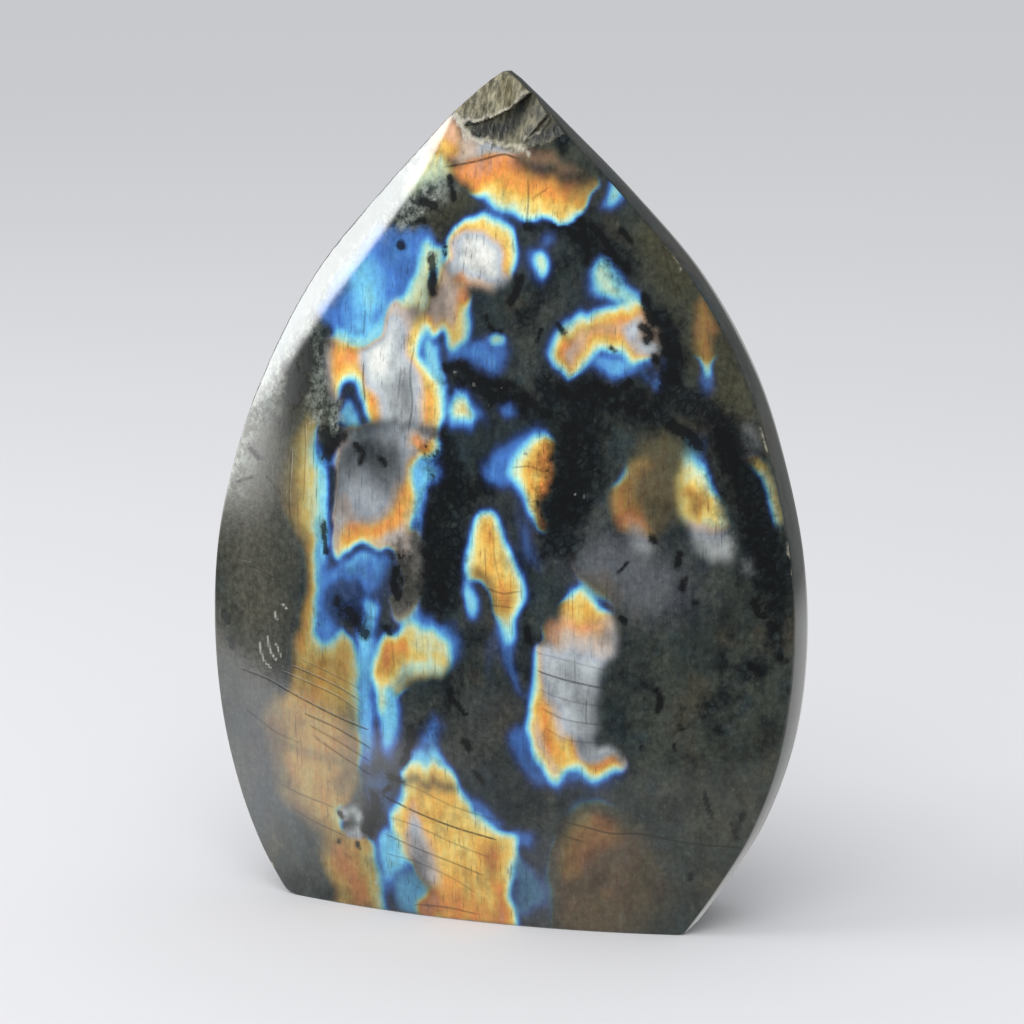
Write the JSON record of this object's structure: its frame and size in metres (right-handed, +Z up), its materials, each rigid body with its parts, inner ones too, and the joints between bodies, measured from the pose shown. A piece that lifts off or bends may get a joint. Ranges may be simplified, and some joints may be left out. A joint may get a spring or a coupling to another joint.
{
  "type": "spectrolite flame",
  "caption": "Free-standing polished stone flame with domed faces, a crisp front edge, a ground shoulder, a cleaved tip and a flat sawn foot.",
  "frame": {"origin": "centre of the stone's bounding box, on the plane of its flat foot", "axes": "+X to the right seen from the front, +Y towards the back, +Z up through the tip"},
  "size_m": [0.0788, 0.03, 0.1093],
  "materials": {
    "polished_feldspar": "mirror-polished dark grey-green feldspar with blue to gold iridescent patches"
  },
  "bodies": {
    "root": {"stone": "polished_feldspar"}
  },
  "joints": []
}
